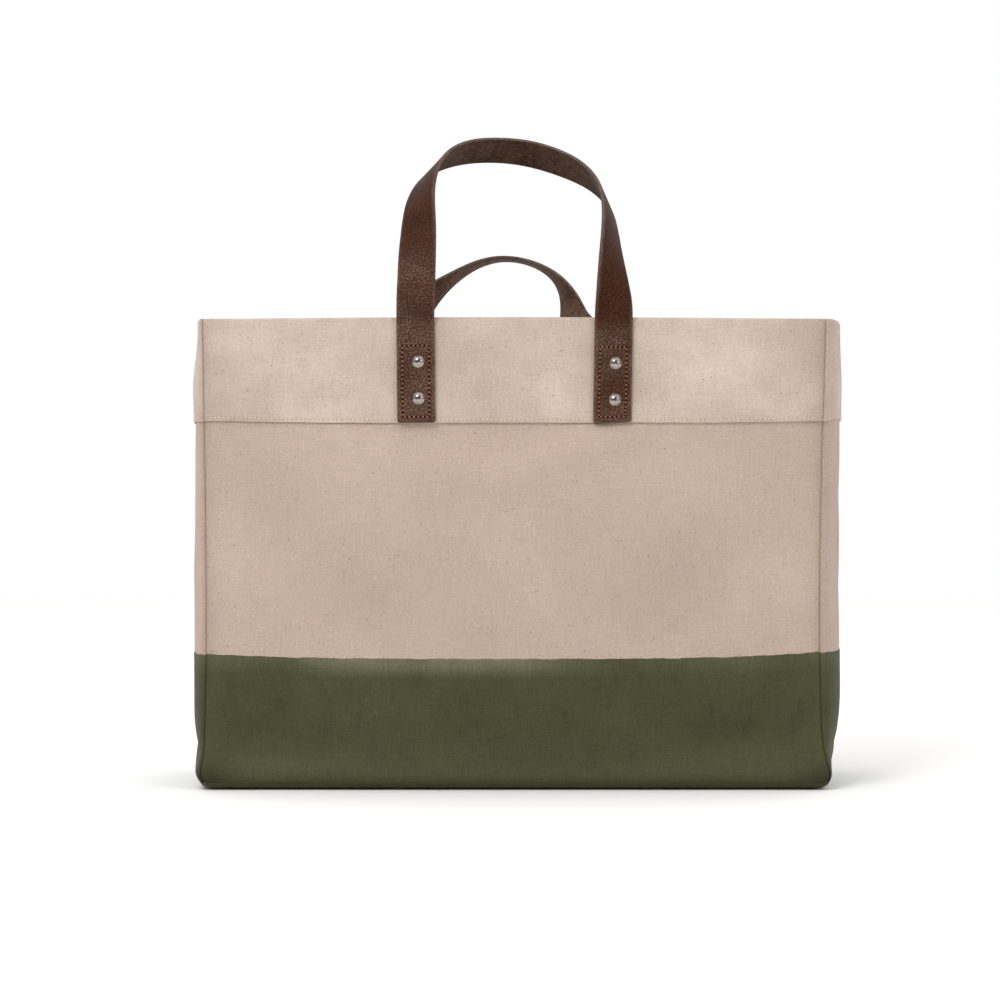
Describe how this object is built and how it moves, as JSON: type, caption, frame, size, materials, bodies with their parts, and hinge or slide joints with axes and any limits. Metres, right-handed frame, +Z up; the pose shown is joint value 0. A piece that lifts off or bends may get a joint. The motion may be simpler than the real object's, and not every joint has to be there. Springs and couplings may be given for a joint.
{
  "type": "tote bag",
  "caption": "Upright canvas tote bag with boxed gussets, a coated base, a doubled top band and two riveted leather strap handles that swing.",
  "frame": {"origin": "centre of the flat underside, midway between the seams", "axes": "+Z up, +X to the right as seen from the front, +Y towards the back; the front face looks along -Y"},
  "size_m": [0.4467, 0.3214, 0.4486],
  "materials": {
    "canvas": "heavy plain-woven natural cotton canvas with slubs and seed flecks",
    "coating": "olive painted-on rubbery coat, low sheen, canvas weave showing through",
    "binding": "cotton tape",
    "leather": "dark brown strap leather, smooth grain face, fibrous flesh face, cut edges",
    "nickel": "polished nickel plate"
  },
  "bodies": {
    "bag": {"front_panel": "canvas", "back_panel": "canvas", "left_panel": "canvas", "right_panel": "canvas", "bottom_panel": "canvas", "front_top_band": "canvas", "back_top_band": "canvas", "left_top_band": "canvas", "right_top_band": "canvas", "front_coating": "coating", "back_coating": "coating", "left_coating": "coating", "right_coating": "coating", "bottom_coating": "coating", "front_seam_binding": "binding", "back_seam_binding": "binding", "front_left_strap_end": "leather", "front_right_strap_end": "leather", "back_left_strap_end": "leather", "back_right_strap_end": "leather", "front_left_inner_patch": "leather", "front_right_inner_patch": "leather", "back_left_inner_patch": "leather", "back_right_inner_patch": "leather", "front_left_upper_rivet": "nickel", "front_left_upper_rivet_back_cap": "nickel", "front_left_lower_rivet": "nickel", "front_left_lower_rivet_back_cap": "nickel", "front_right_upper_rivet": "nickel", "front_right_upper_rivet_back_cap": "nickel", "front_right_lower_rivet": "nickel", "front_right_lower_rivet_back_cap": "nickel", "back_left_upper_rivet": "nickel", "back_left_upper_rivet_back_cap": "nickel", "back_left_lower_rivet": "nickel", "back_left_lower_rivet_back_cap": "nickel", "back_right_upper_rivet": "nickel", "back_right_upper_rivet_back_cap": "nickel", "back_right_lower_rivet": "nickel", "back_right_lower_rivet_back_cap": "nickel"},
    "front_handle": {"front_handle_loop": "leather"},
    "back_handle": {"back_handle_loop": "leather"}
  },
  "joints": [
    {"name": "front_handle_swing", "type": "hinge", "parent": "bag", "child": "front_handle", "pos_m": [0, -0.0881, 0.325], "axis": [1, 0, 0], "range_deg": [-50, 165]},
    {"name": "back_handle_swing", "type": "hinge", "parent": "bag", "child": "back_handle", "pos_m": [0, 0.0881, 0.325], "axis": [1, 0, 0], "range_deg": [-85, 95]}
  ]
}
